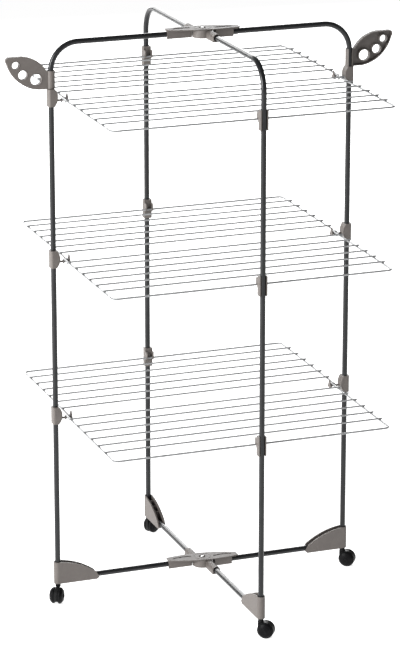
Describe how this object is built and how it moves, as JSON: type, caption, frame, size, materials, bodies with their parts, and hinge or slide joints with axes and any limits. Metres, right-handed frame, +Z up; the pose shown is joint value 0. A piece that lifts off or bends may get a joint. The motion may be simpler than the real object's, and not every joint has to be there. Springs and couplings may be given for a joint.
{
  "type": "clothes drying rack",
  "caption": "Folding tower clothes drying rack: two crossed tube frames on casters carry levels of drop-down wire half shelves, with leaf-shaped hanger wings.",
  "frame": {"origin": "on the floor under the vertical axis about which the two frames cross", "axes": "+Z up, +X along the main frame from the left post to the right post, +Y along the cross frame from front to back"},
  "size_m": [0.9592, 0.7906, 1.3952],
  "materials": {
    "tube_paint": "semi-gloss anthracite",
    "wire_coat": "smooth pale grey coat",
    "taupe_plastic": "fine matte",
    "black_plastic": "satin black",
    "rivet_steel": "bright"
  },
  "bodies": {
    "main_frame": {"left_post": "tube_paint", "left_arch": "tube_paint", "left_base_tube": "tube_paint", "left_corner": "taupe_plastic", "right_post": "tube_paint", "right_arch": "tube_paint", "right_base_tube": "tube_paint", "right_corner": "taupe_plastic", "base_hub_cover": "taupe_plastic", "crown_hub_cover": "taupe_plastic", "base_rivet": "rivet_steel", "crown_rivet": "rivet_steel", "left_hinge_low": "taupe_plastic", "left_hinge_mid": "taupe_plastic", "left_hinge_top": "taupe_plastic", "right_hinge_low": "taupe_plastic", "right_hinge_mid": "taupe_plastic", "right_hinge_top": "taupe_plastic"},
    "cross_frame": {"front_post": "tube_paint", "front_arch": "tube_paint", "front_base_tube": "tube_paint", "front_corner": "taupe_plastic", "back_post": "tube_paint", "back_arch": "tube_paint", "back_base_tube": "tube_paint", "back_corner": "taupe_plastic", "base_hub_drum": "taupe_plastic", "crown_hub_drum": "taupe_plastic", "front_clip_low": "taupe_plastic", "front_clip_mid": "taupe_plastic", "front_clip_top": "taupe_plastic", "back_clip_low": "taupe_plastic", "back_clip_mid": "taupe_plastic", "back_clip_top": "taupe_plastic"},
    "front_shelf_low": {"front_loop_low": "wire_coat", "front_rods_low": "wire_coat"},
    "front_shelf_mid": {"front_loop_mid": "wire_coat", "front_rods_mid": "wire_coat"},
    "front_shelf_top": {"front_loop_top": "wire_coat", "front_rods_top": "wire_coat"},
    "back_shelf_low": {"back_loop_low": "wire_coat", "back_rods_low": "wire_coat"},
    "back_shelf_mid": {"back_loop_mid": "wire_coat", "back_rods_mid": "wire_coat"},
    "back_shelf_top": {"back_loop_top": "wire_coat", "back_rods_top": "wire_coat"},
    "left_wing_body": {"left_wing": "taupe_plastic"},
    "right_wing_body": {"right_wing": "taupe_plastic"},
    "left_caster_body": {"left_caster": "black_plastic"},
    "left_wheel_pair": {"left_wheels": "black_plastic"},
    "right_caster_body": {"right_caster": "black_plastic"},
    "right_wheel_pair": {"right_wheels": "black_plastic"},
    "front_caster_body": {"front_caster": "black_plastic"},
    "front_wheel_pair": {"front_wheels": "black_plastic"},
    "back_caster_body": {"back_caster": "black_plastic"},
    "back_wheel_pair": {"back_wheels": "black_plastic"}
  },
  "joints": [
    {"name": "frame_fold", "type": "hinge", "parent": "main_frame", "child": "cross_frame", "pos_m": [0, 0, 0.7], "axis": [0, 0, -1], "range_deg": [0, 82]},
    {"name": "front_shelf_low_hinge", "type": "hinge", "parent": "main_frame", "child": "front_shelf_low", "pos_m": [0, 0, 0.4727], "axis": [1, 0, 0], "range_deg": [0, 90.2]},
    {"name": "front_shelf_mid_hinge", "type": "hinge", "parent": "main_frame", "child": "front_shelf_mid", "pos_m": [0, 0, 0.8604], "axis": [1, 0, 0], "range_deg": [0, 90.2]},
    {"name": "front_shelf_top_hinge", "type": "hinge", "parent": "main_frame", "child": "front_shelf_top", "pos_m": [0, 0, 1.2487], "axis": [1, 0, 0], "range_deg": [0, 90.2]},
    {"name": "back_shelf_low_hinge", "type": "hinge", "parent": "main_frame", "child": "back_shelf_low", "pos_m": [0, 0, 0.4727], "axis": [-1, 0, 0], "range_deg": [0, 90.2]},
    {"name": "back_shelf_mid_hinge", "type": "hinge", "parent": "main_frame", "child": "back_shelf_mid", "pos_m": [0, 0, 0.8604], "axis": [-1, 0, 0], "range_deg": [0, 90.2]},
    {"name": "back_shelf_top_hinge", "type": "hinge", "parent": "main_frame", "child": "back_shelf_top", "pos_m": [0, 0, 1.2487], "axis": [-1, 0, 0], "range_deg": [0, 90.2]},
    {"name": "left_wing_swing", "type": "hinge", "parent": "main_frame", "child": "left_wing_body", "pos_m": [-0.37, 0.01, 1.3], "axis": [0, 0, -1], "range_deg": [0, 90]},
    {"name": "right_wing_swing", "type": "hinge", "parent": "main_frame", "child": "right_wing_body", "pos_m": [0.37, -0.01, 1.3], "axis": [0, 0, -1], "range_deg": [0, 90]},
    {"name": "left_caster_swivel", "type": "hinge", "parent": "main_frame", "child": "left_caster_body", "pos_m": [-0.37, 0.01, 0.0435], "axis": [0, 0, 1], "continuous": true},
    {"name": "left_wheel_spin", "type": "hinge", "parent": "left_caster_body", "child": "left_wheel_pair", "pos_m": [-0.37689, -0.00103, 0.02], "axis": [0.848, -0.5299, 0], "continuous": true},
    {"name": "right_caster_swivel", "type": "hinge", "parent": "main_frame", "child": "right_caster_body", "pos_m": [0.37, -0.01, 0.0435], "axis": [0, 0, 1], "continuous": true},
    {"name": "right_wheel_spin", "type": "hinge", "parent": "right_caster_body", "child": "right_wheel_pair", "pos_m": [0.38052, -0.01764, 0.02], "axis": [0.5878, 0.809, 0], "continuous": true},
    {"name": "front_caster_swivel", "type": "hinge", "parent": "cross_frame", "child": "front_caster_body", "pos_m": [0.01, -0.368, 0.0435], "axis": [0, 0, 1], "continuous": true},
    {"name": "front_wheel_spin", "type": "hinge", "parent": "front_caster_body", "child": "front_wheel_pair", "pos_m": [0.02052, -0.37564, 0.02], "axis": [0.5878, 0.809, 0], "continuous": true},
    {"name": "back_caster_swivel", "type": "hinge", "parent": "cross_frame", "child": "back_caster_body", "pos_m": [-0.01, 0.368, 0.0435], "axis": [0, 0, 1], "continuous": true},
    {"name": "back_wheel_spin", "type": "hinge", "parent": "back_caster_body", "child": "back_wheel_pair", "pos_m": [0.00126, 0.3745, 0.02], "axis": [-0.5, 0.866, 0], "continuous": true}
  ],
  "couplings": [
    {"joint": "front_shelf_low_hinge", "follows": "frame_fold", "ratio": 1.0976},
    {"joint": "front_shelf_mid_hinge", "follows": "frame_fold", "ratio": 1.0976},
    {"joint": "front_shelf_top_hinge", "follows": "frame_fold", "ratio": 1.0976},
    {"joint": "back_shelf_low_hinge", "follows": "frame_fold", "ratio": 1.0976},
    {"joint": "back_shelf_mid_hinge", "follows": "frame_fold", "ratio": 1.0976},
    {"joint": "back_shelf_top_hinge", "follows": "frame_fold", "ratio": 1.0976}
  ]
}
